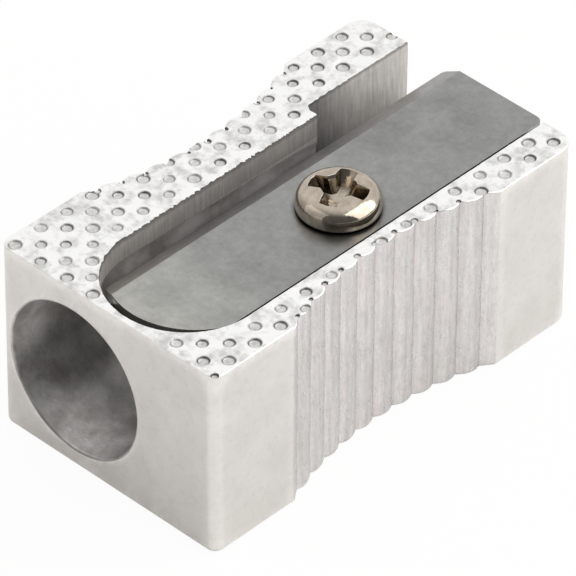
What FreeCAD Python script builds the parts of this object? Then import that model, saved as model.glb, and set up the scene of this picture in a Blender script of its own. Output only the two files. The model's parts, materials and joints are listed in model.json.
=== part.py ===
import FreeCAD, Part
import math
import os

# Hand-held wedge pencil sharpener: a cast metal block, a steel blade and the screw that clamps it.
# Sizes are in millimetres. X runs across the block, Y from the pencil hole to the rear, Z up.
# The origin is the middle of the block's bottom face.

# Pencil bore: a short round guide, then a cone. Their common axis climbs to the rear by the cone's
# half angle, so the cone's top line is level and lies along the cutting edge.
bore_radius = 4.2
bore_half_angle = 11.0
guide_length = 2.0
bore_side_wall = 0.75
bore_floor_wall = 1.09
cone_tip_radius = 0.4

# Blade: flat ground steel, bevelled on top along its cutting edge, round at the front
blade_width = 6.7
blade_thickness = 0.65
blade_bevel_width = 1.1
blade_edge_land = 0.02
blade_rear_overhang = 0.65
blade_rear_chamfer = 0.15
blade_rear_radius = 0.45
blade_nose_radius = 4.3
blade_nose_from_middle = 0.5
blade_front_gap = 0.67
blade_side_gap = 0.6
blade_sink = 0.6
cut_depth = 0.12

# Block
body_length = 25.0
right_rail_width = 2.15
front_corner_radius = 0.6
rear_corner_radius = 1.0
recess_front_wall = 0.35
chip_slot_width = 0.91
chip_slot_depth = 0.6

# Rear notch, where the shavings and the pencil's tip come out beside the blade
notch_step = 0.89
notch_floor_depth = 3.6
notch_lip = 0.27
notch_overlap = 0.25
notch_corner_radius = 0.4

# Finger grip: a shallow waist on both sides, covered with upright ribs
waist_half_length = 7.05
waist_depth = 1.3
waist_lead = 0.65
rib_count = 10
rib_height = 0.25

# Screw: pan head with a cross recess, in a blind tapped hole
screw_from_front = 13.8
screw_from_edge = 4.2
head_diameter = 4.25
head_side_height = 0.6
head_edge_radius = 0.55
head_dome_slope = 20.0
head_foot_radius = 0.2
shank_diameter = 2.2
shank_tip_chamfer = 0.3
thread_engagement = 4.5
shank_hole_clearance = 0.05
blade_hole_clearance = 0.2
hole_spare_depth = 0.4
drill_point_half_angle = 59.0
cross_arm_width = 0.9
cross_radius = 1.6
cross_root_radius = 0.6
cross_depth = 1.0
cross_angle = 22.0

# How far a cutting shape runs past the face that it opens
overrun = 1.0


def polar(value_degrees):
    """Cosine and sine of an angle in degrees."""
    angle = math.radians(value_degrees)
    return math.cos(angle), math.sin(angle)


# Heights, from the bottom face up
bore_cos, bore_sin = polar(bore_half_angle)
bore_mouth_z = bore_floor_wall + bore_radius / bore_cos
cone_top_z = bore_mouth_z + guide_length * bore_sin + bore_radius * bore_cos
seat_z = cone_top_z - cut_depth
blade_top_z = seat_z + blade_thickness
body_height = blade_top_z + blade_sink
notch_floor_z = body_height - notch_floor_depth

# Places across the block, from its left side to its right
body_width = bore_side_wall + bore_radius + blade_width + blade_side_gap + right_rail_width
left_x = -body_width / 2
right_x = body_width / 2
edge_x = left_x + bore_side_wall + bore_radius
blade_right_x = edge_x + blade_width
blade_nose_from_edge = blade_width / 2 - blade_nose_from_middle
recess_left_x = edge_x - chip_slot_width
recess_right_x = right_x - right_rail_width
notch_left_x = recess_left_x - notch_step

# Places along the block, from its front to its rear
front_y = -body_length / 2
rear_y = body_length / 2
blade_rear_y = rear_y + blade_rear_overhang
recess_radius = (recess_right_x - recess_left_x) / 2
recess_x = (recess_right_x + recess_left_x) / 2
recess_y = front_y + recess_front_wall + recess_radius

# The cone's apex, and where its lowest line comes out above the notch floor
cone_length = bore_radius / math.tan(math.radians(bore_half_angle))
apex_y = front_y + (guide_length + cone_length) * bore_cos
notch_reach = (cone_top_z - notch_floor_z - notch_lip) / math.tan(math.radians(2 * bore_half_angle))
notch_front_y = apex_y - notch_reach
notch_cone_half_width = notch_reach * bore_sin / math.sqrt(math.cos(math.radians(2 * bore_half_angle)))
notch_right_x = edge_x + notch_cone_half_width + notch_overlap

# Screw axis
screw_x = edge_x + screw_from_edge
screw_y = front_y + screw_from_front
shank_radius = shank_diameter / 2
shank_hole_radius = shank_radius + shank_hole_clearance
blade_hole_radius = shank_radius + blade_hole_clearance
shank_length = blade_thickness + thread_engagement

# The screw head's dome runs into its rounded edge without a break
head_radius = head_diameter / 2
dome_cos, dome_sin = polar(head_dome_slope)
dome_reach = head_radius - head_edge_radius * (1 - dome_sin)
dome_foot_z = head_side_height + head_edge_radius * dome_cos
dome_radius = dome_reach / dome_sin
head_height = dome_foot_z + dome_radius * (1 - dome_cos)

up = FreeCAD.Vector(0, 0, 1)


def point(x, y, z=0.0):
    return FreeCAD.Vector(x, y, z)


def line(start, end):
    return Part.LineSegment(start, end).toShape()


def arc(start, middle, end):
    return Part.Arc(start, middle, end).toShape()


def corner_arc(start, corner, end):
    """Quarter-round corner between two points that are equally far from the sharp corner."""
    centre = start + end - corner
    middle = centre + (corner - centre).normalize() * (start - centre).Length
    return arc(start, middle, end)


def prism(edges, low_z, high_z):
    """Upright solid between two heights, on an outline of connected edges at height zero."""
    face = Part.Face(Part.Wire(edges))
    face.translate(point(0, 0, low_z))
    return face.extrude(point(0, 0, high_z - low_z))


def waist_inset(y):
    """How far the rib crests stand in from the flat side at a place along the block."""
    radius = (waist_half_length ** 2 + waist_depth ** 2) / (2 * waist_depth)
    return math.sqrt(radius ** 2 - y ** 2) - (radius - waist_depth)


def grip_edges(side):
    """Outline of one side's waist from front to rear: a lead-in, the ribs as arcs, a lead-out."""
    side_x = side * body_width / 2
    ribs_half_length = waist_half_length - waist_lead
    rib_pitch = 2 * ribs_half_length / rib_count

    def on_waist(y, depth):
        return point(side_x - side * (waist_inset(y) + depth), y)

    valleys = [on_waist(-ribs_half_length + k * rib_pitch, rib_height) for k in range(rib_count + 1)]
    crests = [on_waist(-ribs_half_length + (k + 0.5) * rib_pitch, 0.0) for k in range(rib_count)]
    ribs = [arc(valleys[k], crests[k], valleys[k + 1]) for k in range(rib_count)]
    lead_in = line(point(side_x, -waist_half_length), valleys[0])
    lead_out = line(valleys[-1], point(side_x, waist_half_length))
    return [lead_in] + ribs + [lead_out]


def side_edges(side):
    """One whole side of the block from front to rear, without its corners."""
    side_x = side * body_width / 2
    front_flat = line(point(side_x, front_y + front_corner_radius), point(side_x, -waist_half_length))
    rear_flat = line(point(side_x, waist_half_length), point(side_x, rear_y - rear_corner_radius))
    return [front_flat] + grip_edges(side) + [rear_flat]


def end_edges(end_y, radius):
    """Front or rear end of the block with both of its round corners."""
    inward = -math.copysign(radius, end_y)
    edges = [line(point(left_x + radius, end_y), point(right_x - radius, end_y))]
    for side in (-1, 1):
        side_x = side * body_width / 2
        start = point(side_x, end_y + inward)
        end = point(side_x - side * radius, end_y)
        edges.append(corner_arc(start, point(side_x, end_y), end))
    return edges


def block():
    edges = side_edges(1) + side_edges(-1)
    edges += end_edges(front_y, front_corner_radius) + end_edges(rear_y, rear_corner_radius)
    return prism(Part.__sortEdges__(edges), 0.0, body_height)


def recess(low_z):
    """Blade recess, round at the front and open to the rear, down to a height."""
    open_y = rear_y + overrun
    corners = [
        point(recess_left_x, open_y),
        point(recess_left_x, recess_y),
        point(recess_right_x, recess_y),
        point(recess_right_x, open_y),
    ]
    edges = [
        line(corners[0], corners[1]),
        arc(corners[1], point(recess_x, recess_y - recess_radius), corners[2]),
        line(corners[2], corners[3]),
        line(corners[3], corners[0]),
    ]
    return prism(edges, low_z, body_height + overrun)


def chip_slot():
    """Strip of the recess ahead of the cutting edge, cut down into the bore."""
    low_z = seat_z - chip_slot_depth
    strip = Part.makeBox(
        chip_slot_width,
        body_length,
        chip_slot_depth,
        point(recess_left_x, front_y, low_z),
    )
    return recess(low_z).common(strip)


def rear_notch():
    open_y = rear_y + overrun
    inner = point(notch_left_x, notch_front_y)
    start = point(notch_left_x, notch_front_y + notch_corner_radius)
    end = point(notch_left_x + notch_corner_radius, notch_front_y)
    corners = [
        point(notch_right_x, notch_front_y),
        point(notch_right_x, open_y),
        point(notch_left_x, open_y),
    ]
    edges = [
        corner_arc(start, inner, end),
        line(end, corners[0]),
        line(corners[0], corners[1]),
        line(corners[1], corners[2]),
        line(corners[2], start),
    ]
    return prism(edges, notch_floor_z, body_height + overrun)


def pencil_bore():
    direction = point(0, bore_cos, bore_sin)
    mouth = point(edge_x, front_y, bore_mouth_z)
    lead = bore_radius * bore_sin + overrun
    guide = Part.makeCylinder(bore_radius, lead + guide_length, mouth - direction * lead, direction)
    length = cone_length * (1 - cone_tip_radius / bore_radius)
    cone = Part.makeCone(
        bore_radius,
        cone_tip_radius,
        length,
        mouth + direction * guide_length,
        direction,
    )
    return guide.fuse(cone)


def tapped_hole():
    depth = thread_engagement + hole_spare_depth
    floor = point(screw_x, screw_y, seat_z - depth)
    drill_tip = shank_hole_radius / math.tan(math.radians(drill_point_half_angle))
    hole = Part.makeCylinder(shank_hole_radius, depth + overrun, floor, up)
    tip = Part.makeCone(shank_hole_radius, 0, drill_tip, floor, -up)
    return hole.fuse(tip)


def make_body():
    cuts = [recess(seat_z), chip_slot(), rear_notch(), pencil_bore(), tapped_hole()]
    return block().cut(cuts).removeSplitter()


def blade_outline():
    """Plan of the blade: a round nose inside the recess's front end, and eased rear corners."""
    nose_y = front_y + recess_front_wall + blade_front_gap
    centre = point(edge_x + blade_nose_from_edge, nose_y + blade_nose_radius)

    def on_nose(x):
        return point(x, centre.y - math.sqrt(blade_nose_radius ** 2 - (x - centre.x) ** 2))

    tip = on_nose(edge_x)
    shoulder = on_nose(blade_right_x)
    foremost = point(centre.x, nose_y)
    rear_right = point(blade_right_x, blade_rear_y)
    eased_side = rear_right - point(0, blade_rear_radius)
    eased_rear = rear_right - point(blade_rear_radius, 0)
    chamfer_rear = point(edge_x + blade_rear_chamfer, blade_rear_y)
    chamfer_edge = point(edge_x, blade_rear_y - blade_rear_chamfer)
    return [
        arc(tip, foremost, shoulder),
        line(shoulder, eased_side),
        corner_arc(eased_side, rear_right, eased_rear),
        line(eased_rear, chamfer_rear),
        line(chamfer_rear, chamfer_edge),
        line(chamfer_edge, tip),
    ]


def bevel_cut():
    """Wedge that is ground off the blade's top, down to the cutting edge."""
    start_y = front_y
    outside_x = edge_x - overrun
    land_z = seat_z + blade_edge_land
    slope = (blade_thickness - blade_edge_land) / blade_bevel_width
    corners = [
        point(edge_x, start_y, land_z),
        point(edge_x + blade_bevel_width + overrun, start_y, blade_top_z + slope * overrun),
        point(outside_x, start_y, blade_top_z + slope * overrun),
        point(outside_x, start_y, land_z),
    ]
    face = Part.Face(Part.makePolygon(corners + [corners[0]]))
    return face.extrude(point(0, body_length + blade_rear_overhang + overrun, 0))


def make_blade():
    plate = prism(blade_outline(), seat_z, blade_top_z)
    hole = Part.makeCylinder(
        blade_hole_radius,
        blade_thickness + 2 * overrun,
        point(screw_x, screw_y, seat_z - overrun),
        up,
    )
    return plate.cut([bevel_cut(), hole])


def head_profile():
    """Half section of the pan head at the origin: eased foot, short side, rounded edge, domed top."""
    foot_in = point(head_radius - head_foot_radius, 0, 0)
    foot_up = point(head_radius, 0, head_foot_radius)
    rim = point(head_radius, 0, head_side_height)
    edge_cos, edge_sin = polar(45.0 - head_dome_slope / 2)
    edge_middle = point(
        head_radius - head_edge_radius * (1 - edge_cos),
        0,
        head_side_height + head_edge_radius * edge_sin,
    )
    dome_foot = point(dome_reach, 0, dome_foot_z)
    half_cos, half_sin = polar(head_dome_slope / 2)
    dome_middle = point(dome_radius * half_sin, 0, head_height - dome_radius * (1 - half_cos))
    crown = point(0, 0, head_height)
    return [
        line(point(0, 0, 0), foot_in),
        corner_arc(foot_in, point(head_radius, 0, 0), foot_up),
        line(foot_up, rim),
        arc(rim, edge_middle, dome_foot),
        arc(dome_foot, dome_middle, crown),
        line(crown, point(0, 0, 0)),
    ]


def cross_recess():
    """Tapered cross: two crossing slots, bounded by a cone that narrows downwards."""
    depth = cross_depth + overrun
    flare = (cross_radius - cross_root_radius) / cross_depth
    floor = point(0, 0, head_height - cross_depth)
    taper = Part.makeCone(cross_root_radius, cross_root_radius + flare * depth, depth, floor, up)
    reach = cross_radius + flare * overrun
    slot = Part.makeBox(
        2 * reach,
        cross_arm_width,
        depth,
        floor - point(reach, cross_arm_width / 2, 0),
    )
    crossing = slot.copy()
    crossing.rotate(point(0, 0), up, 90)
    cross = slot.fuse(crossing).common(taper)
    cross.rotate(point(0, 0), up, cross_angle)
    return cross


def make_screw():
    head = Part.Face(Part.Wire(head_profile())).revolve(point(0, 0), up, 360)
    shaft_length = shank_length - shank_tip_chamfer
    shaft = Part.makeCylinder(shank_radius, shaft_length, point(0, 0), -up)
    tip = Part.makeCone(
        shank_radius,
        shank_radius - shank_tip_chamfer,
        shank_tip_chamfer,
        point(0, 0, -shaft_length),
        -up,
    )
    screw = head.fuse([shaft, tip]).cut(cross_recess()).removeSplitter()
    screw.translate(point(screw_x, screw_y, blade_top_z))
    return screw


os.makedirs("parts", exist_ok=True)
pieces = {"body": make_body(), "blade": make_blade(), "screw": make_screw()}
for name, shape in pieces.items():
    shape.exportStep("parts/" + name + ".step")
    print(name, shape.isValid(), len(shape.Solids), round(shape.Volume, 3), shape.BoundBox)
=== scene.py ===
import json
import math
import random

import bmesh
import bpy
from mathutils import Matrix, Vector, noise


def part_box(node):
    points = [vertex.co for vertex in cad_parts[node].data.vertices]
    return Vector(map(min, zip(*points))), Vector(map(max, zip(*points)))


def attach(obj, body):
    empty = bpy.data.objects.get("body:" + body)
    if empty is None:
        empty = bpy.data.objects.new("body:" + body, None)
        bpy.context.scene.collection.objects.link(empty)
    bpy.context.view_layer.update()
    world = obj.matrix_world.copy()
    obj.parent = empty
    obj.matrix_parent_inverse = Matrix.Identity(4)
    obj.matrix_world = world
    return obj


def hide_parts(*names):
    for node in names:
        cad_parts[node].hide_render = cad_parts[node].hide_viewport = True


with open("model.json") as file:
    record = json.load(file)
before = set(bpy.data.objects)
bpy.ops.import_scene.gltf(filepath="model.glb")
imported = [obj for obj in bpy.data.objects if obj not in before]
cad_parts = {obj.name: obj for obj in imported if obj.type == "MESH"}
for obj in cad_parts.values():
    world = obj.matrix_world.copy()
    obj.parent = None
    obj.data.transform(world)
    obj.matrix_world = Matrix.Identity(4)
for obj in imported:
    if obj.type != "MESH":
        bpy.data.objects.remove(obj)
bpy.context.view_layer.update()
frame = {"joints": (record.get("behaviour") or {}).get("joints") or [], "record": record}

# Hand-held wedge pencil sharpener: cast block, steel blade, cross-recess screw.
# Shapes are worked out in millimetres in the CAD frame, X across the block, Y from the pencil hole to
# the rear and Z up, and each finished mesh is brought to metres.
mm = 0.001
random.seed(11)


def box_mm(node):
    low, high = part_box(node)
    return low / mm, high / mm


# Places that the frame gives
body_low, body_high = box_mm("body")
blade_low, blade_high = box_mm("blade")
screw_low, screw_high = box_mm("screw")
left_x, front_y = body_low.x, body_low.y
right_x, rear_y, body_height = body_high
edge_x, blade_front_y, seat_z = blade_low
blade_right_x, blade_rear_y, blade_top_z = blade_high
head_radius = (screw_high.x - screw_low.x) / 2
shank_tip_z = screw_low.z
mounts = {mount["name"]: mount for mount in frame["record"]["mounts"]}
bore_radius = mounts["pencil_bore"]["dims"]["r_mm"]
bore_axis = -Vector(mounts["pencil_bore"]["axis"])
bore_point = Vector(mounts["pencil_bore"]["pos_m"]) / mm
bore_mouth = bore_point + bore_axis * ((front_y - bore_point.y) / bore_axis.y)
bore_half_angle = math.asin(bore_axis.z)
joints = {joint["name"]: joint for joint in frame["joints"]}
screw_x, screw_y, screw_z = (value / mm for value in joints["screw_turn"]["pos_m"])

# Block, as in the solid
front_corner_radius = 0.6
rear_corner_radius = 1.0
waist_half_length = 7.05
waist_depth = 1.3
waist_lead = 0.65
rib_count = 10
rib_height = 0.25
chip_slot_width = 0.91
chip_slot_depth = 0.6
blade_side_gap = 0.6
recess_front_wall = 0.35
notch_step = 0.89
notch_right_x = -0.92
notch_front_y = 5.23
notch_floor_depth = 3.6
notch_corner_radius = 0.4
guide_length = 2.0
cone_tip_radius = 0.4
recess_left_x = edge_x - chip_slot_width
recess_right_x = blade_right_x + blade_side_gap
notch_left_x = recess_left_x - notch_step
notch_floor_z = body_height - notch_floor_depth
recess_radius = (recess_right_x - recess_left_x) / 2
recess_x = (recess_right_x + recess_left_x) / 2
recess_y = front_y + recess_front_wall + recess_radius

# Cast surface of the block
bottom_edge_radius = 0.32
top_edge_radius = 0.06
top_edge_rag = 1.8
cast_ripple = 0.012
mouth_chamfer = 0.14
step_corner_radius = 0.12
step_overlap = 0.05
slot_wall_ease = 0.008
slot_overlap = 0.2
burr_height = 0.12
burr_width = 0.06
burr_grain = 4.5
burr_overlap = 0.02
torn_height = 0.35
recess_drawn_depth = 0.014
notch_drawn_depth = 0.022

# Spacing of points along straight walls, and of the fields that the top face is divided into
side_gap = 0.35
end_gap = 0.4
recess_left_gap = 0.08
recess_right_gap = 0.2
notch_left_gap = 0.09
notch_front_gap = 0.12
notch_level_gap = 0.45
top_field = 1.6

# Pits in the block's top; a stray is how far a pit may lie off its place
dimple_radius = 0.34
dimple_depth = 0.11
dimple_rim = 0.03
dimple_stray = 0.03
dimple_margin = 0.1
dimple_recess_gap = 0.3
corner_pit = (-0.22, 0.22)
corner_pit_size = 0.6
valley_chip_inset = 0.06
valley_chip_sizes = (0.25, 0.55)
# Rows of dimples left and right of the middle, as (first place, step) of x + y and of y - x
left_rows = ((1.1158, 1.7265), (1.5872, 1.7453))
right_rows = ((1.5836, 1.7239), (-0.0196, 1.7603))

# Bore: the painted glint in the lower left of the pencil hole, and how far in its band of painted shade
# reaches
bore_glint = (-3.27, -11.8, 1.35)
bore_glint_radius = 0.9
bore_shade_depth = 6.0

# Blade, as in the solid, but with eased edges and a nose that stands a little further back and left
blade_bevel_width = 1.1
blade_edge_land = 0.02
blade_rear_chamfer = 0.15
blade_rear_radius = 0.45
blade_nose_radius = 4.3
blade_nose_from_edge = 2.72
blade_nose_gap = 0.22
blade_edge_ease = 0.1
blade_hole_radius = 1.3
bevel_overlap = 0.01
# Edges nearer to the cutting edge than this stay sharp
keen_width = 0.3
# How far the painted sheen on the blade's nose reaches to the rear
nose_sheen_length = 8.0

# Screw, as in the solid, but with a thread, a rounder head and a wider cross
head_edge_radius = 0.8
head_dome_slope = math.radians(15.0)
head_foot_radius = 0.2
shank_radius = 1.1
shank_tip_length = 0.3
shank_tip_inset = 0.35
shank_neck_length = 0.1
thread_pitch = 0.45
thread_depth = 0.19
hole_clearance = 0.05
hole_spare_depth = 0.4
hole_overlap = 0.1
drill_tip_depth = 0.6
cross_half_width = 0.5
cross_radius = 1.6
cross_root_half_width = 0.3
cross_root_radius = 1.1
cross_depth = 1.0
cross_tip_depth = 0.15
cross_overlap = 0.2
cross_corner = 0.3
cross_angle = math.radians(22.0)
cross_edge_ease = 0.07

# Where the room is brightest
bright_side = (-0.5, 0.6, 0.62)

# How far a cutting shape runs past the face that it opens
overrun = 1.0

# Points nearer than this are joined
weld_distance = 0.0005


# Mesh helpers

def lofted(name, rings, materials):
    """Closed mesh through rings that have equally many points."""
    count = len(rings[0])
    vertices = [corner for ring in rings for corner in ring]
    faces = [tuple(reversed(range(count)))]
    for low in range(0, len(vertices) - count, count):
        for k in range(count):
            after = (k + 1) % count
            faces.append((low + k, low + after, low + count + after, low + count + k))
    faces.append(tuple(range(len(vertices) - count, len(vertices))))
    return mesh_object(name, vertices, faces, materials)


def mesh_object(name, vertices, faces, materials):
    mesh = bpy.data.meshes.new(name)
    mesh.from_pydata([tuple(corner) for corner in vertices], [], faces)
    made = bpy.data.objects.new(name, mesh)
    for material in materials:
        mesh.materials.append(material)
    bpy.context.scene.collection.objects.link(made)
    work = bmesh.new()
    work.from_mesh(mesh)
    bmesh.ops.recalc_face_normals(work, faces=work.faces)
    work.to_mesh(mesh)
    work.free()
    return made


def prism(name, outline, low_z, high_z, materials):
    return lofted(name, [raised(outline, low_z), raised(outline, high_z)], materials)


def raised(outline, z):
    return [Vector((x, y, z)) for x, y in outline]


def lifted(ring, z):
    """The same ring at another height."""
    return [Vector((spot.x, spot.y, z)) for spot in ring]


def cut(target, cutter):
    """Takes the cutter's shape out of the target; the cut faces keep the cutter's material."""
    boolean = target.modifiers.new("cut", "BOOLEAN")
    boolean.operation = "DIFFERENCE"
    boolean.solver = "EXACT"
    boolean.material_mode = "TRANSFER"
    boolean.object = cutter
    graph = bpy.context.evaluated_depsgraph_get()
    whole = target.data
    target.data = bpy.data.meshes.new_from_object(target.evaluated_get(graph))
    target.modifiers.clear()
    bpy.data.meshes.remove(whole)
    bpy.data.objects.remove(cutter)


def ease_edges(piece, width, least_angle, wanted, material):
    """Rounds a piece's sharp outer edges where wanted(edge) says so, in a material of their own."""
    piece.data.materials.append(material)
    work = bmesh.new()
    work.from_mesh(piece.data)
    bmesh.ops.remove_doubles(work, verts=work.verts, dist=weld_distance)
    sharp = []
    for edge in work.edges:
        if edge.is_convex and edge.calc_face_angle(0.0) > math.radians(least_angle) and wanted(edge):
            sharp.append(edge)
    bmesh.ops.bevel(
        work,
        geom=sharp,
        offset=width,
        segments=3,
        profile=0.5,
        affect="EDGES",
        clamp_overlap=True,
        material=len(piece.data.materials) - 1,
    )
    work.to_mesh(piece.data)
    work.free()


def finished(piece, smooth_angle, body):
    """Brings a piece to metres, shades it and puts it in the place of its CAD node."""
    mesh = piece.data
    work = bmesh.new()
    work.from_mesh(mesh)
    bmesh.ops.remove_doubles(work, verts=work.verts, dist=weld_distance)
    work.to_mesh(mesh)
    work.free()
    mesh.transform(Matrix.Scale(mm, 4))
    mesh.shade_smooth()
    mesh.set_sharp_from_angle(angle=math.radians(smooth_angle))
    weighted = piece.modifiers.new("weighted normals", "WEIGHTED_NORMAL")
    weighted.keep_sharp = True
    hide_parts(body)
    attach(piece, body)


def spaced(start, end, gap):
    """Places from start up to but without end, about one gap apart."""
    count = max(1, round(abs(end - start) / gap))
    return [start + (end - start) * k / count for k in range(count)]


def arc_points(centre, radius, start_angle, end_angle, count):
    """Points on an arc, both ends included; angles in degrees."""
    points = []
    for k in range(count + 1):
        angle = math.radians(start_angle + (end_angle - start_angle) * k / count)
        points.append((centre[0] + radius * math.cos(angle), centre[1] + radius * math.sin(angle)))
    return points


def outward_normals(outline):
    """Unit normals of a closed anticlockwise outline at its points."""
    normals = []
    for k in range(len(outline)):
        before = Vector(outline[k - 1])
        after = Vector(outline[(k + 1) % len(outline)])
        along = (after - before).normalized()
        normals.append(Vector((along.y, -along.x)))
    return normals


def moved_out(outline, normals, z, distance):
    """Ring at a height, each point moved out along its normal by distance(index, x, y, z)."""
    ring = []
    for k, (x, y) in enumerate(outline):
        out = distance(k, x, y, z)
        ring.append(Vector((x + normals[k].x * out, y + normals[k].y * out, z)))
    return ring


# Materials

def shader(name, base_color, metallic, roughness):
    material = bpy.data.materials.new(name)
    material.use_nodes = True
    tree = material.node_tree
    surface = tree.nodes["Principled BSDF"]
    surface.inputs["Base Color"].default_value = (*base_color, 1.0)
    surface.inputs["Metallic"].default_value = metallic
    surface.inputs["Roughness"].default_value = roughness
    return material, tree, surface


def position_mm(tree, stretch=(1.0, 1.0, 1.0)):
    """Place on the piece in millimetres, squeezed by a stretch on each axis."""
    coordinates = tree.nodes.new("ShaderNodeTexCoord")
    mapping = tree.nodes.new("ShaderNodeMapping")
    mapping.inputs["Scale"].default_value = tuple(value / mm for value in stretch)
    tree.links.new(coordinates.outputs["Object"], mapping.inputs["Vector"])
    return mapping.outputs["Vector"]


def noise_value(tree, where, scale, detail=4.0, roughness=0.6):
    texture = tree.nodes.new("ShaderNodeTexNoise")
    texture.inputs["Scale"].default_value = scale
    texture.inputs["Detail"].default_value = detail
    texture.inputs["Roughness"].default_value = roughness
    tree.links.new(where, texture.inputs["Vector"])
    return texture.outputs["Fac"]


def ramp(tree, value, stops):
    """Colour ramp of (place, colour) stops; a colour may be one grey value."""
    made = tree.nodes.new("ShaderNodeValToRGB")
    elements = made.color_ramp.elements
    while len(elements) < len(stops):
        elements.new(0.5)
    for element, (place, colour) in zip(elements, stops):
        element.position = place
        element.color = (*colour, 1.0) if isinstance(colour, tuple) else (colour, colour, colour, 1.0)
    tree.links.new(value, made.inputs["Fac"])
    return made.outputs["Color"]


def blended(tree, blend, first, second):
    """Full blend of two colours, through the node's two colour inputs and its colour output."""
    made = tree.nodes.new("ShaderNodeMix")
    made.data_type = "RGBA"
    made.blend_type = blend
    made.inputs["Factor"].default_value = 1.0
    tree.links.new(first, made.inputs[6])
    tree.links.new(second, made.inputs[7])
    return made.outputs[2]


def product(tree, first, *others):
    """Colours multiplied with each other."""
    colour = first
    for other in others:
        colour = blended(tree, "MULTIPLY", colour, other)
    return colour


def bumped(tree, surface, layers):
    """Chain of bumps, each a (height socket, strength, depth in millimetres)."""
    normal = None
    for height, strength, depth in layers:
        bump = tree.nodes.new("ShaderNodeBump")
        bump.inputs["Strength"].default_value = strength
        bump.inputs["Distance"].default_value = depth * mm
        tree.links.new(height, bump.inputs["Height"])
        if normal is not None:
            tree.links.new(normal, bump.inputs["Normal"])
        normal = bump.outputs["Normal"]
    tree.links.new(normal, surface.inputs["Normal"])


def coordinate(tree, vector, axis):
    """One coordinate of a vector."""
    parts = tree.nodes.new("ShaderNodeSeparateXYZ")
    tree.links.new(vector, parts.inputs["Vector"])
    return parts.outputs[axis]


def facing(tree, axis):
    """How far the surface faces along an axis, from -1 to 1."""
    geometry = tree.nodes.new("ShaderNodeNewGeometry")
    return coordinate(tree, geometry.outputs["Normal"], axis)


def share_of_range(tree, value, low, high):
    """Where a value lies between two limits, from 0 to 1."""
    made = tree.nodes.new("ShaderNodeMapRange")
    made.inputs["From Min"].default_value = low
    made.inputs["From Max"].default_value = high
    tree.links.new(value, made.inputs["Value"])
    return made.outputs["Result"]


def edge_pointiness(tree):
    """Near 0.5 on flats, more on outer edges and less in inner ones."""
    geometry = tree.nodes.new("ShaderNodeNewGeometry")
    return geometry.outputs["Pointiness"]


def crevice(tree, reach):
    """From 1 on open surfaces to 0 deep in gaps narrower than the reach in millimetres."""
    occlusion = tree.nodes.new("ShaderNodeAmbientOcclusion")
    occlusion.samples = 8
    occlusion.inputs["Distance"].default_value = reach * mm
    return occlusion.outputs["AO"]


def cast_colour(tree, where):
    """Bright cast alloy, softly clouded."""
    cloudy = noise_value(tree, where, 0.45, 5.0, 0.55)
    tone = ramp(tree, cloudy, [(0.3, (0.84, 0.815, 0.785)), (0.7, (0.92, 0.9, 0.875))])
    fine = ramp(tree, noise_value(tree, where, 3.0, 6.0, 0.65), [(0.3, 0.93), (0.5, 1.0)])
    return product(tree, tone, fine)


def cast_metal():
    """The alloy on the plain faces, with painted shade in inner corners and painted highlights on outer
    edges.
    """
    material, tree, surface = shader("cast_metal", (0.84, 0.825, 0.80), 1.0, 0.4)
    where = position_mm(tree)
    # Painted shade in inner corners and painted highlights on outer edges, from the mesh's pointiness
    corner_shade_and_edge_highlight = ramp(tree, edge_pointiness(tree), [(0.44, 0.6), (0.49, 0.88), (0.505, 0.88), (0.52, 1.0)])
    tree.links.new(product(tree, cast_colour(tree, where), corner_shade_and_edge_highlight), surface.inputs["Base Color"])
    polish = ramp(tree, noise_value(tree, where, 1.1, 5.0, 0.65), [(0.3, 0.32), (0.7, 0.46)])
    tree.links.new(polish, surface.inputs["Roughness"])
    grain = noise_value(tree, where, 6.0, 6.0, 0.7)
    waves = noise_value(tree, where, 0.8, 3.0, 0.5)
    bumped(tree, surface, [(waves, 0.4, 0.1), (grain, 0.1, 0.02)])
    return material


def struck_metal():
    """The same alloy on the dimpled top, uneven between the dimples."""
    material, tree, surface = shader("struck_metal", (0.9, 0.89, 0.875), 1.0, 0.36)
    where = position_mm(tree)
    smudges = noise_value(tree, where, 1.5, 6.0, 0.6)
    tone = ramp(tree, smudges, [(0.32, (0.6, 0.595, 0.58)), (0.54, (0.92, 0.915, 0.9))])
    tree.links.new(tone, surface.inputs["Base Color"])
    grain = noise_value(tree, where, 6.0, 6.0, 0.7)
    waves = noise_value(tree, where, 1.6, 4.0, 0.5)
    bumped(tree, surface, [(waves, 0.6, 0.1), (grain, 0.25, 0.03)])
    return material


def ribbed_metal():
    """The same alloy on the finger grips, with the upright marks of the mould and painted shade on the
    ribs' rear flanks.
    """
    material, tree, surface = shader("ribbed_metal", (0.84, 0.825, 0.80), 0.8, 0.3)
    where = position_mm(tree)
    drawn = position_mm(tree, (1.0, 1.0, 0.35))
    long_drawn = position_mm(tree, (1.0, 1.0, 0.06))
    streaks = ramp(tree, noise_value(tree, long_drawn, 4.5, 4.0, 0.6), [(0.36, 0.87), (0.58, 1.0)])
    specks = ramp(tree, noise_value(tree, drawn, 6.0, 5.0, 0.7), [(0.34, 0.88), (0.6, 1.0)])
    # Painted shade: the rear-facing flanks of the ribs darker than the front-facing ones
    flank = share_of_range(tree, facing(tree, "Y"), -0.7, 0.7)
    painted_shade = ramp(tree, flank, [(0.0, 1.0), (0.2, 1.0), (0.36, 0.86), (0.65, 0.88), (1.0, 0.7)])
    hues = noise_value(tree, drawn, 1.5, 3.0, 0.5)
    tint = ramp(tree, hues, [(0.3, (0.955, 0.985, 0.99)), (0.7, (1.0, 0.97, 1.0))])
    colour = product(tree, cast_colour(tree, where), streaks, specks, painted_shade, tint)
    tree.links.new(colour, surface.inputs["Base Color"])
    polish = ramp(tree, noise_value(tree, drawn, 3.0), [(0.3, 0.22), (0.7, 0.4)])
    tree.links.new(polish, surface.inputs["Roughness"])
    grain = noise_value(tree, where, 5.0, 6.0, 0.7)
    scratches = noise_value(tree, drawn, 5.0, 4.0, 0.6)
    bumped(tree, surface, [(grain, 0.4, 0.04), (scratches, 0.7, 0.06)])
    return material


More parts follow.
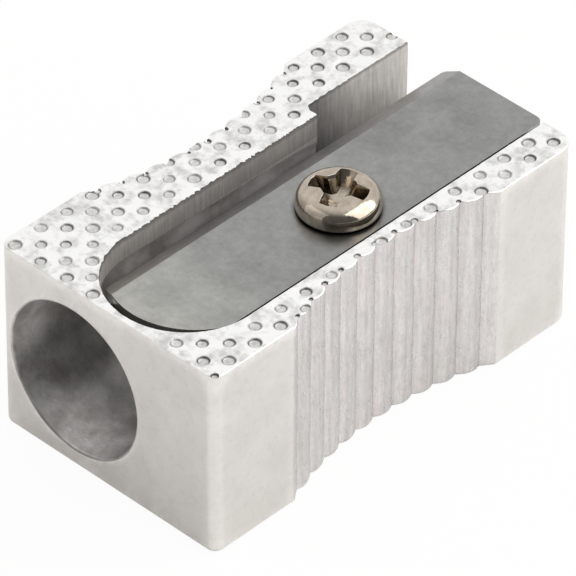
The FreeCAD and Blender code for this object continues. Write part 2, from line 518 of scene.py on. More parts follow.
def pressed_metal():
    """The dimples: painted shade on the steep walls round a brighter bottom."""
    material, tree, surface = shader("pressed_metal", (0.6, 0.585, 0.56), 1.0, 0.5)
    where = position_mm(tree)
    # Painted shade in the pits: dark on the steep walls, lighter on the flat bottoms
    walls = ramp(tree, facing(tree, "Z"), [(0.7, (0.15, 0.147, 0.14)), (0.97, (0.72, 0.71, 0.69))])
    fine = ramp(tree, noise_value(tree, where, 4.0, 6.0, 0.7), [(0.32, 0.7), (0.55, 1.0)])
    tree.links.new(product(tree, walls, fine), surface.inputs["Base Color"])
    bumped(tree, surface, [(noise_value(tree, where, 5.0, 6.0, 0.7), 0.5, 0.04)])
    return material


def milled_metal(name, dark, light, metallic, gap_shade_colour, front_colour):
    """Cut walls with upright tool marks, between two colours.

    They are torn under the top edge, darker where level, with painted shade in narrow gaps, and may have
    painted shade at the front of the notch.
    """
    material, tree, surface = shader(name, light, metallic, 0.55)
    drawn = position_mm(tree, (1.0, 1.0, 0.1))
    where = position_mm(tree)
    tone = ramp(tree, noise_value(tree, drawn, 5.0, 5.0, 0.7), [(0.3, dark), (0.7, light)])
    cloudy = ramp(tree, noise_value(tree, where, 1.2, 4.0, 0.6), [(0.3, 0.85), (0.7, 1.0)])
    # Painted shade in narrow gaps
    crevice_shade = ramp(tree, crevice(tree, 0.5), [(0.3, gap_shade_colour), (0.6, 1.0)])
    torn_z = body_height - torn_height
    below_edge = share_of_range(tree, coordinate(tree, where, "Z"), torn_z, body_height)
    torn = ramp(tree, below_edge, [(0.3, 1.0), (0.8, 0.5)])
    # Painted shade at the front of the notch, by the step
    along = share_of_range(tree, coordinate(tree, where, "Y"), notch_front_y, rear_y)
    shaded = ramp(tree, along, [(0.1, front_colour), (0.5, 1.0)])
    # Darker where level, on the floors of the cuts
    level_darkening = ramp(tree, facing(tree, "Z"), [(0.3, 1.0), (0.8, 0.3)])
    colour = product(tree, tone, cloudy, torn, shaded, level_darkening, crevice_shade)
    tree.links.new(colour, surface.inputs["Base Color"])
    bumped(tree, surface, [(noise_value(tree, drawn, 9.0, 4.0, 0.6), 0.4, 0.03)])
    return material


def bored_metal():
    """Bored cone with painted light: bright on its bottom and roof, with painted shade on its sides and
    in a band further in, and one painted glint.
    """
    material, tree, surface = shader("bored_metal", (0.6, 0.59, 0.58), 0.4, 0.34)
    where = position_mm(tree)
    cloudy = noise_value(tree, where, 0.6, 6.0, 0.6)
    tone = ramp(tree, cloudy, [(0.36, (0.55, 0.527, 0.5)), (0.62, (1.0, 0.98, 0.965))])
    # Painted light and shade by facing: bright on the bottom and the roof, dark on the sides
    painted_light_by_facing = ramp(tree, facing(tree, "Z"), [(0.0, 0.98), (0.35, 0.42), (0.7, 0.46), (0.95, 1.0)])
    # Painted shade in a band further into the bore
    deep = share_of_range(tree, coordinate(tree, where, "Y"), front_y, front_y + bore_shade_depth)
    painted_shade = ramp(tree, deep, [(0.25, 1.0), (0.6, 0.5), (1.0, 0.95)])
    # Painted glint in the lower left of the bore, mottled by fine noise
    apart = tree.nodes.new("ShaderNodeVectorMath")
    apart.operation = "DISTANCE"
    apart.inputs[1].default_value = bore_glint
    tree.links.new(where, apart.inputs[0])
    glint = ramp(tree, apart.outputs["Value"], [(0.1, (1.0, 1.0, 0.98)), (bore_glint_radius, 0.0)])
    fine = ramp(tree, noise_value(tree, where, 5.0, 5.0, 0.7), [(0.38, 0.3), (0.58, 1.0)])
    colour = blended(tree, "LIGHTEN", product(tree, tone, painted_light_by_facing, painted_shade), product(tree, glint, fine))
    tree.links.new(colour, surface.inputs["Base Color"])
    turned = position_mm(tree, (0.15, 1.0, 0.15))
    waves = noise_value(tree, where, 1.6, 4.0, 0.6)
    rings = noise_value(tree, turned, 8.0)
    bumped(tree, surface, [(waves, 0.5, 0.12), (rings, 0.2, 0.02)])
    return material


def blade_steel(name, dark, light, roughness):
    """Ground steel between two colours, with faint lines along the blade, a painted sheen brightest at
    the nose and painted shade in narrow gaps.
    """
    material, tree, surface = shader(name, light, 1.0, roughness)
    ground = position_mm(tree, (1.0, 0.05, 1.0))
    where = position_mm(tree)
    cloudy = noise_value(tree, where, 0.35, 6.0, 0.65)
    tone = ramp(tree, cloudy, [(0.3, dark), (0.7, light)])
    lines = ramp(tree, noise_value(tree, ground, 6.0, 5.0, 0.65), [(0.3, 0.95), (0.7, 1.0)])
    fine = ramp(tree, noise_value(tree, where, 2.5, 6.0, 0.7), [(0.32, 0.82), (0.68, 1.0)])
    # Painted sheen, brightest at the nose and fading towards the rear
    sheen_end_y = blade_front_y + nose_sheen_length
    nose = share_of_range(tree, coordinate(tree, where, "Y"), blade_front_y, sheen_end_y)
    painted_sheen = ramp(tree, nose, [(0.0, (1.0, 0.99, 0.96)), (1.0, (0.7, 0.705, 0.715))])
    # Painted shade in narrow gaps, nearly black deep in them
    crevice_shade = ramp(tree, crevice(tree, 0.6), [(0.4, 0.06), (0.72, 1.0)])
    colour = product(tree, tone, lines, fine, painted_sheen, crevice_shade)
    tree.links.new(colour, surface.inputs["Base Color"])
    uneven = noise_value(tree, where, 1.2, 5.0, 0.65)
    polish = ramp(tree, uneven, [(0.3, roughness - 0.04), (0.7, roughness + 0.04)])
    tree.links.new(polish, surface.inputs["Roughness"])
    bumped(tree, surface, [(noise_value(tree, where, 3.0, 5.0, 0.65), 0.06, 0.02)])
    return material


def plated_steel(name, dark, light):
    """Polished warm plating between two colours, with painted shade in the recess."""
    material, tree, surface = shader(name, light, 1.0, 0.1)
    where = position_mm(tree)
    cloudy = noise_value(tree, where, 2.0, 4.0, 0.6)
    tone = ramp(tree, cloudy, [(0.3, dark), (0.7, light)])
    # Painted shade in the cross recess
    crevice_shade = ramp(tree, crevice(tree, 1.2), [(0.25, 0.3), (0.7, 1.0)])
    tree.links.new(product(tree, tone, crevice_shade), surface.inputs["Base Color"])
    polish = ramp(tree, noise_value(tree, where, 5.0, 5.0, 0.7), [(0.35, 0.07), (0.7, 0.2)])
    tree.links.new(polish, surface.inputs["Roughness"])
    bumped(tree, surface, [(noise_value(tree, where, 1.6, 3.0, 0.5), 0.3, 0.05)])
    return material


# Block

def waist_inset(y):
    """How far the rib crests stand in from the flat side at a place along the block."""
    radius = (waist_half_length ** 2 + waist_depth ** 2) / (2 * waist_depth)
    return math.sqrt(radius ** 2 - y ** 2) - (radius - waist_depth)


def rib_points(start, crest, end, count):
    """Points from a valley over a crest up to but without the next valley, as (inset, y)."""
    start, crest, end = Vector(start), Vector(crest), Vector(end)
    chord = end - start
    height = (crest - (start + end) / 2).length
    radius = (chord.length ** 2 / 4 + height ** 2) / (2 * height)
    inward = ((start + end) / 2 - crest).normalized()
    centre = crest + inward * radius
    half = math.asin(chord.length / 2 / radius)
    along = chord.normalized()
    points = []
    for k in range(count):
        angle = half * (2 * k / count - 1)
        place = centre + along * (radius * math.sin(angle)) - inward * (radius * math.cos(angle))
        points.append((place.x, place.y))
    return points


def valley_places():
    """Where the valleys between the ribs lie along the block."""
    ribs_half_length = waist_half_length - waist_lead
    rib_pitch = 2 * ribs_half_length / rib_count
    return [-ribs_half_length + k * rib_pitch for k in range(rib_count + 1)]


def side_points():
    """One side of the block from front to rear, as (inset from the flat side, y)."""
    valley_ys = valley_places()
    valleys = [(waist_inset(y) + rib_height, y) for y in valley_ys]
    points = [(0.0, y) for y in spaced(front_y + front_corner_radius, -waist_half_length, side_gap)]
    points += [(0.0, -waist_half_length)]
    for k in range(rib_count):
        crest_y = (valley_ys[k] + valley_ys[k + 1]) / 2
        points += rib_points(valleys[k], (waist_inset(crest_y), crest_y), valleys[k + 1], 14)
    points += [valleys[-1]]
    points += [(0.0, y) for y in spaced(waist_half_length, rear_y - rear_corner_radius, side_gap)]
    return points


def block_outline():
    """Plan of the block, anticlockwise from the front right corner."""
    def corner(side, end_y, start_angle):
        radius = front_corner_radius if end_y < 0 else rear_corner_radius
        centre = (side * (right_x - radius), end_y - math.copysign(radius, end_y))
        return arc_points(centre, radius, start_angle, start_angle + 90, 9)

    side = side_points()
    outline = corner(1, front_y, -90)[:-1]
    outline += [(right_x - inset, y) for inset, y in side]
    outline += corner(1, rear_y, 0)
    rear_half = right_x - rear_corner_radius
    outline += [(x, rear_y) for x in spaced(rear_half, -rear_half, end_gap)[1:]]
    outline += corner(-1, rear_y, 90)[:-1]
    outline += [(left_x + inset, y) for inset, y in reversed(side)]
    outline += corner(-1, front_y, 180)[1:]
    front_half = right_x - front_corner_radius
    outline += [(x, front_y) for x in spaced(-front_half, front_half, end_gap)[1:]]
    return outline


def block(material):
    """The block before it is cut, with round bottom edges, a small top edge and a cast ripple."""
    outline = block_outline()
    normals = outward_normals(outline)

    def ripple(x, y, z):
        wave = noise.noise(Vector((x * 0.9, y * 0.9, z * 0.35)))
        fine = noise.noise(Vector((x * 4.0, y * 4.0, z * 0.5)))
        return -cast_ripple * (1.0 + 0.6 * wave + 0.4 * fine)

    def ragged(x, y):
        return 1.0 + top_edge_rag * max(0.0, noise.noise(Vector((x * 2.2, y * 2.2, 9.0))))

    def side_ring(z, inset):
        return moved_out(outline, normals, z, lambda k, x, y, z: ripple(x, y, z) - inset)

    def top_ring(z, inset):
        return moved_out(outline, normals, z, lambda k, x, y, z: ripple(x, y, z) - inset * ragged(x, y))

    bottom_steps = 6
    side_steps = 18
    top_steps = 4
    rings = []
    for k in range(bottom_steps):
        angle = math.radians(90 * k / bottom_steps)
        inset = bottom_edge_radius * (1 - math.sin(angle))
        rings.append(side_ring(bottom_edge_radius * (1 - math.cos(angle)), inset))
    side_low = bottom_edge_radius
    side_high = body_height - top_edge_radius
    for k in range(side_steps + 1):
        rings.append(side_ring(side_low + (side_high - side_low) * k / side_steps, 0.0))
    for k in range(1, top_steps + 1):
        angle = math.radians(90 * k / top_steps)
        inset = top_edge_radius * (1 - math.cos(angle))
        rings.append(top_ring(side_high + top_edge_radius * math.sin(angle), inset))
    return lofted("body_casting", rings, [material])


def divide_top(body):
    """Divides the top face into small fields, so that no field holds many dimples."""
    work = bmesh.new()
    work.from_mesh(body.data)
    across = Vector((1.0, 0.0, 0.0))
    along = Vector((0.0, 1.0, 0.0))
    cuts = [(across * x, across) for x in spaced(left_x, right_x, top_field)[1:]]
    cuts += [(along * y, along) for y in spaced(front_y, rear_y, top_field)[1:]]
    for place, normal in cuts:
        top = [face for face in work.faces if face.normal.z > 0.99]
        edges = {edge for face in top for edge in face.edges}
        corners = {corner for face in top for corner in face.verts}
        geometry = top + list(edges) + list(corners)
        bmesh.ops.bisect_plane(work, geom=geometry, plane_co=place, plane_no=normal)
    work.to_mesh(body.data)
    work.free()


def outline_distance(outline, x, y):
    """How far a place lies inside a closed outline; negative outside."""
    nearest = math.inf
    inside = False
    for (ax, ay), (bx, by) in zip(outline, outline[1:] + outline[:1]):
        run = Vector((bx - ax, by - ay))
        share = max(0.0, min(1.0, run.dot(Vector((x - ax, y - ay))) / run.length_squared))
        nearest = min(nearest, (Vector((ax, ay)) + run * share - Vector((x, y))).length)
        if (ay > y) != (by > y) and x < ax + (y - ay) / (by - ay) * (bx - ax):
            inside = not inside
    return nearest if inside else -nearest


def near_recess(x, y, gap):
    """Whether a place lies in the blade recess or the notch, or nearer to them than a gap."""
    if y < recess_y:
        return math.hypot(x - recess_x, y - recess_y) < recess_radius + gap
    wall_x = notch_left_x if y > notch_front_y - gap else recess_left_x
    return wall_x - gap < x < recess_right_x + gap


def dimple_centres():
    """The dimples on the top face, in rows at 45 degrees to the block, as x and y."""
    outline = block_outline()
    middle_x = (left_x + right_x) / 2
    centres = []
    for rows, on_side in ((left_rows, -1), (right_rows, 1)):
        (first_sum, sum_step), (first_difference, difference_step) = rows
        for i in range(-2, 24):
            for j in range(-10, 18):
                total = first_sum + sum_step * i
                difference = first_difference + difference_step * j
                x = left_x + (total - difference) / 2
                y = front_y + (total + difference) / 2
                if (x - middle_x) * on_side < 0 or near_recess(x, y, dimple_recess_gap):
                    continue
                if outline_distance(outline, x, y) > dimple_margin:
                    centres.append((x, y))
    return centres


def top_dimples():
    """The dimples and the pit in the front right corner, as x, y and size."""
    pits = [(x, y, 1.0) for x, y in dimple_centres()]
    return pits + [(right_x + corner_pit[0], front_y + corner_pit[1], corner_pit_size)]


def valley_chips():
    """Small pits where the valleys of the ribs break the top edge, as x, y and size."""
    pits = []
    for y in valley_places():
        inset = waist_inset(y) + rib_height + valley_chip_inset
        for side in (-1, 1):
            pits.append((side * (right_x - inset), y, random.uniform(*valley_chip_sizes)))
    return pits


def pit_cutter(pits, material):
    """Pits as one cutter: shallow craters with steep walls and a flat bottom.

    The profile gives shares of a pit's radius and depth, from the bottom up.
    """
    count = 24
    profile = [(0.35, 1.0), (0.6, 0.97), (0.72, 0.88), (0.84, 0.55), (0.94, 0.2)]
    vertices = []
    faces = []
    for x, y, scale in pits:
        x += random.uniform(-dimple_stray, dimple_stray)
        y += random.uniform(-dimple_stray, dimple_stray)
        size = dimple_radius * scale * random.uniform(0.86, 1.1)
        deep = dimple_depth * random.uniform(0.7, 1.25)
        levels = [(size * r, body_height - deep * h) for r, h in profile]
        levels += [(size + dimple_rim, body_height)]
        levels += [(size + 2 * dimple_rim, body_height + dimple_rim)]
        first = len(vertices)
        vertices.append(Vector((x, y, body_height - deep)))
        for radius, z in levels:
            vertices += raised(arc_points((x, y), radius, 0, 360, count)[:-1], z)
        for k in range(count):
            after = (k + 1) % count
            faces.append((first, first + 1 + after, first + 1 + k))
            for level in range(len(levels) - 1):
                low = first + 1 + level * count
                faces.append((low + k, low + after, low + count + after, low + count + k))
        top = first + 1 + (len(levels) - 1) * count
        faces.append(tuple(range(top, top + count)))
    return mesh_object("pits", vertices, faces, [material])


def recess_cutter(material):
    """Blade recess, round at the front and open to the rear, with drawn walls and a burred top edge."""
    open_y = rear_y + overrun
    outline = [(recess_left_x, y) for y in spaced(open_y, recess_y, recess_left_gap)]
    outline += arc_points((recess_x, recess_y), recess_radius, 180, 360, 72)
    outline += [(recess_right_x, y) for y in spaced(recess_y, open_y, recess_right_gap)[1:]]
    outline += [(recess_right_x, open_y)]
    normals = outward_normals(outline)
    chips = [random.uniform(-0.7, 0.9) for _ in outline]

    def wall(k, x, y, z):
        above_seat = min(1.0, 2 * (z - seat_z))
        drawn = recess_drawn_depth * above_seat * noise.noise(Vector((x * 3.0, y * 6.0, z * 0.6)))
        burr = max(0.0, 1.0 - (body_height - z) / burr_height) * max(0.0, -normals[k].x)
        ragged = 1.0 + 1.2 * noise.noise(Vector((x * burr_grain, y * burr_grain, 7.0))) + chips[k]
        return drawn + burr_width * burr ** 2 * ragged

    levels = [seat_z, seat_z + 0.5, body_height - burr_height, body_height - burr_height / 2]
    levels += [body_height - burr_height / 5, body_height + burr_overlap]
    rings = [moved_out(outline, normals, z, wall) for z in levels]
    rings.append(lifted(rings[-1], body_height + overrun))
    return lofted("recess", rings, [material])


def chip_slot_cutter(material):
    """Strip ahead of the cutting edge, from the recess down into the bore."""
    radius = recess_radius - slot_wall_ease
    reach = math.degrees(math.acos((recess_x - edge_x) / radius))
    outline = [(recess_x - radius, rear_y + overrun)]
    outline += arc_points((recess_x, recess_y), radius, 180, 180 + reach, 12)
    outline += [(edge_x, rear_y + overrun)]
    return prism("chip_slot", outline, seat_z - chip_slot_depth, seat_z + slot_overlap, [material])


def notch_cutter(material):
    """Rear notch, with the upright marks of the tool that broke it out."""
    open_y = rear_y + overrun
    corner = (notch_left_x + notch_corner_radius, notch_front_y + notch_corner_radius)
    outline = [(notch_left_x, y) for y in spaced(open_y, corner[1], notch_left_gap)]
    outline += arc_points(corner, notch_corner_radius, 180, 270, 10)
    outline += [(x, notch_front_y) for x in spaced(corner[0], notch_right_x, notch_front_gap)[1:]]
    outline += [(notch_right_x, notch_front_y), (notch_right_x, open_y)]
    normals = outward_normals(outline)

    def wall(k, x, y, z):
        drawn = notch_drawn_depth * noise.noise(Vector((x * 6.0, y * 7.0, z * 0.7)))
        burr = max(0.0, 1.0 - (body_height - z) / burr_height)
        ragged = 1.0 + 1.4 * noise.noise(Vector((x * burr_grain, y * burr_grain, 3.0)))
        return drawn + 0.6 * burr_width * burr ** 2 * ragged

    levels = [notch_floor_z + notch_level_gap * k for k in range(8)]
    levels += [body_height - burr_height / 2, body_height - burr_height / 5, body_height + burr_overlap]
    rings = [moved_out(outline, normals, z, wall) for z in levels]
    rings.append(lifted(rings[-1], body_height + overrun))
    return lofted("rear_notch", rings, [material])


def step_cutter(material):
    """Eases the upright corner between the recess and the rear notch."""
    radius = step_corner_radius
    out_x = recess_left_x + step_overlap
    out_y = notch_front_y + step_overlap
    centre = (recess_left_x - radius, notch_front_y - radius)
    outline = arc_points(centre, radius, 90, 0, 8)
    outline += [(out_x, centre[1]), (out_x, out_y), (centre[0], out_y)]
    low_z = seat_z - chip_slot_depth
    return prism("step", list(reversed(outline)), low_z, body_height + overrun, [material])


def bore_cutter(material):
    """Inclined pencil bore: eased mouth, round guide, cone."""
    count = 128
    across = Vector((1.0, 0.0, 0.0))
    upright = across.cross(bore_axis)
    cone_length = bore_radius / math.tan(bore_half_angle)

    def at(angle, radius, depth):
        outward = across * math.cos(angle) + upright * math.sin(angle)
        return bore_mouth + bore_axis * depth + outward * radius

    def front_ring(y, radius):
        """Ring of the guide in an upright plane, where the bore meets the front face."""
        ring = []
        for k in range(count):
            angle = -2 * math.pi * k / count
            rise = bore_radius * math.sin(angle) * bore_axis.z
            depth = (y - front_y + rise) / bore_axis.y
            spot = at(angle, radius, depth)
            ring.append(Vector((spot.x, y, spot.z)))
        return ring

    def round_ring(radius, depth):
        return [at(-2 * math.pi * k / count, radius, depth) for k in range(count)]

    rings = [front_ring(front_y - overrun / 2, bore_radius + mouth_chamfer)]
    rings += [front_ring(front_y, bore_radius + mouth_chamfer)]
    rings += [front_ring(front_y + 0.4 * mouth_chamfer, bore_radius + 0.25 * mouth_chamfer)]
    rings += [front_ring(front_y + mouth_chamfer, bore_radius)]
    steps = 16
    tip_depth = cone_length * (1 - cone_tip_radius / bore_radius)
    for k in range(steps + 1):
        depth = tip_depth * k / steps
        rings.append(round_ring(bore_radius * (1 - depth / cone_length), guide_length + depth))
    return lofted("bore", rings, [material])


def threaded_rings(inner, outer, low_z, high_z, count):
    """Rings of a helical thread about the screw axis between two heights."""
    rings_per_turn = 10
    levels = round((high_z - low_z) / thread_pitch * rings_per_turn)
    rings = []
    for level in range(levels + 1):
        z = low_z + (high_z - low_z) * level / levels
        ring = []
        for k in range(count):
            turn = k / count
            phase = ((z - screw_z) / thread_pitch - turn) % 1.0
            ridge = min(1.0, 1.4 * abs(2 * phase - 1))
            radius = inner + (outer - inner) * ridge
            angle = 2 * math.pi * turn
            x = screw_x + radius * math.cos(angle)
            y = screw_y + radius * math.sin(angle)
            ring.append(Vector((x, y, z)))
        rings.append(ring)
    return rings


def tapped_hole_cutter(material):
    """Threaded blind hole with the drill's point at its bottom."""
    floor_z = shank_tip_z - hole_spare_depth
    inner = shank_radius + hole_clearance
    rings = threaded_rings(inner, inner + thread_depth, floor_z, seat_z + hole_overlap, 40)
    point = Vector((screw_x, screw_y, floor_z - drill_tip_depth))
    rings.insert(0, [point.lerp(spot, 0.05) for spot in rings[0]])
    return lofted("tapped_hole", rings, [material])


def mark_faces(body):
    """Gives the ribbed sides the second of the block's materials and the top face the third."""
    for face in body.data.polygons:
        beside_waist = abs(face.center.y) < waist_half_length
        on_side = beside_waist and abs(face.center.x) > right_x - 2 * waist_depth
        if face.normal.z > 0.5:
            face.material_index = 2
        elif on_side and face.normal.z > -0.5:
            face.material_index = 1


def make_body(cast, ribbed, struck, pressed, milled, slotted, notched, bored):
    body = block(cast)
    body.data.materials.append(ribbed)
    body.data.materials.append(struck)
    divide_top(body)
    mark_faces(body)
    cut(body, pit_cutter(top_dimples(), pressed))
    cut(body, pit_cutter(valley_chips(), pressed))
    cut(body, recess_cutter(milled))
    cut(body, chip_slot_cutter(slotted))
    cut(body, notch_cutter(notched))
    cut(body, step_cutter(notched))
    cut(body, bore_cutter(bored))
    cut(body, tapped_hole_cutter(milled))
    finished(body, 38, "body")


# Blade

def blade_outline():
    """Plan of the blade, anticlockwise from the tip of its cutting edge."""
    centre = (edge_x + blade_nose_from_edge, blade_front_y + blade_nose_gap + blade_nose_radius)
    start = math.degrees(math.acos((edge_x - centre[0]) / blade_nose_radius))
    end = math.degrees(math.acos((blade_right_x - centre[0]) / blade_nose_radius))
    outline = arc_points(centre, blade_nose_radius, -start, -end, 48)
    eased = (blade_right_x - blade_rear_radius, blade_rear_y - blade_rear_radius)
    outline += arc_points(eased, blade_rear_radius, 0, 90, 8)
    outline += [(edge_x + blade_rear_chamfer, blade_rear_y)]
    outline += [(edge_x, blade_rear_y - blade_rear_chamfer)]
    return outline


def bevel_cutter(material):
    """Wedge that is ground off the blade's top, down to the cutting edge."""
    land_z = seat_z + blade_edge_land
    slope = (blade_top_z - land_z) / blade_bevel_width
    far_x = edge_x + blade_bevel_width + overrun
    section = [
        (edge_x - bevel_overlap, land_z - bevel_overlap * slope),
        (far_x, blade_top_z + slope * overrun),
        (edge_x - overrun, blade_top_z + slope * overrun),
        (edge_x - overrun, land_z),
    ]
    ends = [[Vector((x, y, z)) for x, z in section] for y in (front_y, blade_rear_y + overrun)]
    return lofted("bevel", ends, [material])


def off_cutting_edge(edge):
    """Whether an edge of the blade lies away from its cutting edge."""
    return edge.verts[0].co.x > edge_x + keen_width


def make_blade(steel, edge, painted_sheen):
    blade = prism("blade_plate", blade_outline(), seat_z, blade_top_z, [steel])
    hole = arc_points((screw_x, screw_y), blade_hole_radius, 0, 360, 64)[:-1]
    cut(blade, bevel_cutter(edge))
    cut(blade, prism("hole", hole, seat_z - overrun, blade_top_z + overrun, [steel]))
    # The eased edges take a pale material, a painted highlight
    ease_edges(blade, blade_edge_ease, 50, off_cutting_edge, painted_sheen)
    finished(blade, 30, "blade")


# Screw

def screw_ring(radius, z, count):
    """Round ring about the screw's axis."""
    return raised(arc_points((screw_x, screw_y), radius, 0, 360, count)[:-1], z)


def head_rings(count):
    """Rings of the pan head from its foot to near its crown."""
    dome_reach = head_radius - head_edge_radius * (1 - math.sin(head_dome_slope))
    dome_radius = dome_reach / math.sin(head_dome_slope)
    crown = screw_high.z - screw_z
    dome_foot = crown - dome_radius * (1 - math.cos(head_dome_slope))
    side_height = dome_foot - head_edge_radius * math.cos(head_dome_slope)
    profile = []
    foot_steps = 4
    for k in range(foot_steps + 1):
        angle = math.radians(90 * k / foot_steps)
        profile.append((
            head_radius - head_foot_radius * (1 - math.sin(angle)),
            head_foot_radius * (1 - math.cos(angle)),
        ))
    edge_steps = 10
    for k in range(edge_steps + 1):
        angle = (math.pi / 2 - head_dome_slope) * k / edge_steps
        profile.append((
            head_radius - head_edge_radius * (1 - math.cos(angle)),
            side_height + head_edge_radius * math.sin(angle),
        ))
    dome_steps = 8
    for k in range(1, dome_steps + 1):
        angle = head_dome_slope * (1 - k / (dome_steps + 0.5))
        profile.append((dome_radius * math.sin(angle), crown - dome_radius * (1 - math.cos(angle))))
    return [screw_ring(radius, screw_z + z, count) for radius, z in profile]


def cross_outline(half_width, reach, corner):
    """Cross of four arms with round ends and eased inner corners, anticlockwise."""
    outline = []
    spread = math.degrees(math.asin(half_width / reach))
    arm = [(half_width + corner, -half_width)]
    arm += arc_points((0.0, 0.0), reach, -spread, spread, 6)
    arm += [(half_width + corner, half_width)]
    for quarter in range(4):
        turn = Matrix.Rotation(cross_angle + quarter * math.pi / 2, 2)
        outline += [turn @ Vector(corner_point) for corner_point in arm]
    return [(screw_x + x, screw_y + y) for x, y in outline]


def cross_cutter(material):
    """Cross recess, narrower and shorter towards its bottom, with a blunt point."""
    top_z = screw_high.z
    flare = (cross_radius - cross_root_radius) / cross_depth
    draft = (cross_half_width - cross_root_half_width) / cross_depth
    rings = []
    for height in (-cross_depth, -0.6 * cross_depth, -0.3 * cross_depth, 0.0, cross_overlap):
        half_width = cross_half_width + draft * height
        reach = cross_radius + flare * height
        corner = cross_corner * half_width / cross_half_width
        rings.append(raised(cross_outline(half_width, reach, corner), top_z + height))
    point = Vector((screw_x, screw_y, top_z - cross_depth - cross_tip_depth))
    rings.insert(0, [point.lerp(spot, 0.1) for spot in rings[0]])
    return lofted("cross", rings, [material])


def on_head_top(edge):
    """Whether an edge bounds the upper side of the screw's head."""
    in_upper_half = edge.verts[0].co.z > screw_z + 0.6
    return in_upper_half and max(face.normal.z for face in edge.link_faces) > 0.6


def make_screw(plated, painted_sheen):
    count = 96
    inner = shank_radius - thread_depth
    thread_low = shank_tip_z + shank_tip_length
    thread_high = screw_z - shank_neck_length
    rings = [screw_ring(shank_radius - shank_tip_inset, shank_tip_z, count)]
    rings += threaded_rings(inner, shank_radius, thread_low, thread_high, count)
    rings += [screw_ring(shank_radius, screw_z, count)]
    screw = lofted("screw_turned", rings + head_rings(count), [plated])
    cut(screw, cross_cutter(plated))
    # The eased edges of the cross take a pale material, a painted highlight
    ease_edges(screw, cross_edge_ease, 35, on_head_top, painted_sheen)
    finished(screw, 32, "screw")


# Set, light and camera

def floor_material():
    """Pale floor: near white to the eye, less so in reflections, and it keeps the object's shadow."""
    material = bpy.data.materials.new("pale_floor")
    material.use_nodes = True
    tree = material.node_tree
    tree.nodes.clear()
    out = tree.nodes.new("ShaderNodeOutputMaterial")
    plain = tree.nodes.new("ShaderNodeBsdfDiffuse")
    plain.inputs["Color"].default_value = (0.8, 0.785, 0.77, 1.0)
    glow = tree.nodes.new("ShaderNodeEmission")
    seen = tree.nodes.new("ShaderNodeLightPath")
    mix = tree.nodes.new("ShaderNodeMixShader")
    share = None
    for ray, part in (("Is Camera Ray", 0.95), ("Is Glossy Ray", 0.1), ("Is Transmission Ray", 0.1)):
        add = tree.nodes.new("ShaderNodeMath")
        add.operation = "MULTIPLY_ADD"
        add.inputs[1].default_value = part
        add.inputs[2].default_value = 0.0
        tree.links.new(seen.outputs[ray], add.inputs[0])
        if share is not None:
            tree.links.new(share, add.inputs[2])
        share = add.outputs[0]
    tree.links.new(share, mix.inputs["Fac"])
    tree.links.new(plain.outputs[0], mix.inputs[1])
    tree.links.new(glow.outputs[0], mix.inputs[2])
    tree.links.new(mix.outputs[0], out.inputs["Surface"])
    return material


def make_floor():
    bpy.ops.mesh.primitive_plane_add(size=6.0, location=(0.0, 0.0, -0.02 * mm))
    floor = bpy.context.object
    floor.name = "floor"
    floor.data.materials.append(floor_material())


def make_world():
    """Grey room, bright up behind the block and dark on the camera's side."""
    world = bpy.data.worlds.new("studio")
    world.use_nodes = True
    tree = world.node_tree
    coordinates = tree.nodes.new("ShaderNodeTexCoord")
    towards = tree.nodes.new("ShaderNodeVectorMath")
    towards.operation = "DOT_PRODUCT"
    towards.inputs[1].default_value = Vector(bright_side).normalized()
    tree.links.new(coordinates.outputs["Generated"], towards.inputs[0])
    half = share_of_range(tree, towards.outputs["Value"], -1.0, 1.0)
    sky = ramp(tree, half, [(0.0, 0.1), (0.45, 0.16), (0.64, 0.6), (0.82, 1.0)])
    tree.links.new(sky, tree.nodes["Background"].inputs["Color"])
    bpy.context.scene.world = world


def softbox(name, direction, distance, size, radiance):
    """Square area lamp that looks at the block from a direction; radiance 1 looks white."""
    data = bpy.data.lights.new(name, "AREA")
    data.shape = "SQUARE"
    data.size = size
    data.energy = radiance * math.pi * size ** 2
    lamp = bpy.data.objects.new(name, data)
    towards = Vector(direction).normalized()
    lamp.location = towards * distance
    lamp.rotation_mode = "QUATERNION"
    lamp.rotation_quaternion = towards.to_track_quat("Z", "Y")
    bpy.context.scene.collection.objects.link(lamp)


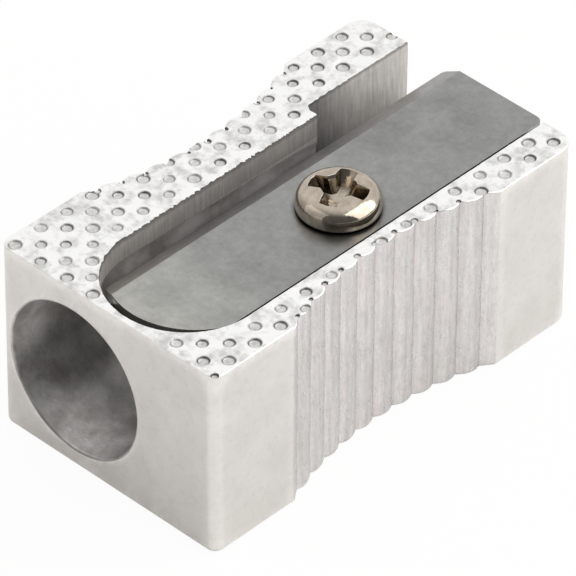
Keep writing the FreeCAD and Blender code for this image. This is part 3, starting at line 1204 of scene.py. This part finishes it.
def make_camera():
    """Camera fitted to the block's edges in the photo."""
    azimuth = math.radians(43.80)
    elevation = math.radians(39.50)
    roll = math.radians(0.368)
    distance = 340.83
    back = Vector((
        math.sin(azimuth) * math.cos(elevation),
        -math.cos(azimuth) * math.cos(elevation),
        math.sin(elevation),
    ))
    level = Vector((math.cos(azimuth), math.sin(azimuth), 0.0))
    across = level * math.cos(roll) + back.cross(level) * math.sin(roll)
    pose = Matrix((across, back.cross(across), back)).transposed().to_4x4()
    aim = Vector((0.0, 0.0, 5.5))
    pose.translation = (aim + back * distance) * mm
    data = bpy.data.cameras.new("camera")
    data.sensor_width = 36.0
    data.lens = 440.116
    data.shift_x = -0.00349
    data.shift_y = -0.01339
    data.clip_start = 0.01
    camera = bpy.data.objects.new("camera", data)
    camera.matrix_world = pose
    bpy.context.scene.collection.objects.link(camera)
    bpy.context.scene.camera = camera


make_body(
    cast_metal(),
    ribbed_metal(),
    struck_metal(),
    pressed_metal(),
    milled_metal(
        "milled_metal",
        dark=(0.28, 0.268, 0.25),
        light=(0.4, 0.382, 0.358),
        metallic=0.4,
        gap_shade_colour=0.1,
        front_colour=1.0,
    ),
    milled_metal(
        "slotted_metal",
        dark=(0.29, 0.278, 0.26),
        light=(0.38, 0.362, 0.338),
        metallic=0.0,
        gap_shade_colour=1.0,
        front_colour=1.0,
    ),
    milled_metal(
        "notched_metal",
        dark=(0.54, 0.517, 0.488),
        light=(0.77, 0.74, 0.705),
        metallic=0.4,
        gap_shade_colour=0.1,
        front_colour=0.36,
    ),
    bored_metal(),
)
make_blade(
    blade_steel("blade_steel", (0.38, 0.38, 0.365), (0.56, 0.56, 0.54), 0.3),
    blade_steel("edge_steel", (0.5, 0.48, 0.47), (0.62, 0.6, 0.58), 0.4),
    # Pale steel for the blade's eased edges: a painted highlight
    blade_steel("sheen_edge_steel", (0.8, 0.79, 0.75), (0.95, 0.94, 0.9), 0.3),
)
make_screw(
    plated_steel("plated_steel", (0.38, 0.32, 0.25), (0.56, 0.5, 0.42)),
    # Pale plating for the cross's eased edges: a painted highlight
    plated_steel("sheen_edge_plating", (0.7, 0.65, 0.58), (0.9, 0.86, 0.8)),
)
make_floor()
make_world()
softbox("key_softbox", direction=(0.7, 0.45, 0.65), distance=0.4, size=0.5, radiance=2.05)
softbox("front_softbox", direction=(-0.35, -0.8, 0.45), distance=0.5, size=0.5, radiance=0.5)
make_camera()
bpy.context.scene.view_settings.view_transform = "Standard"
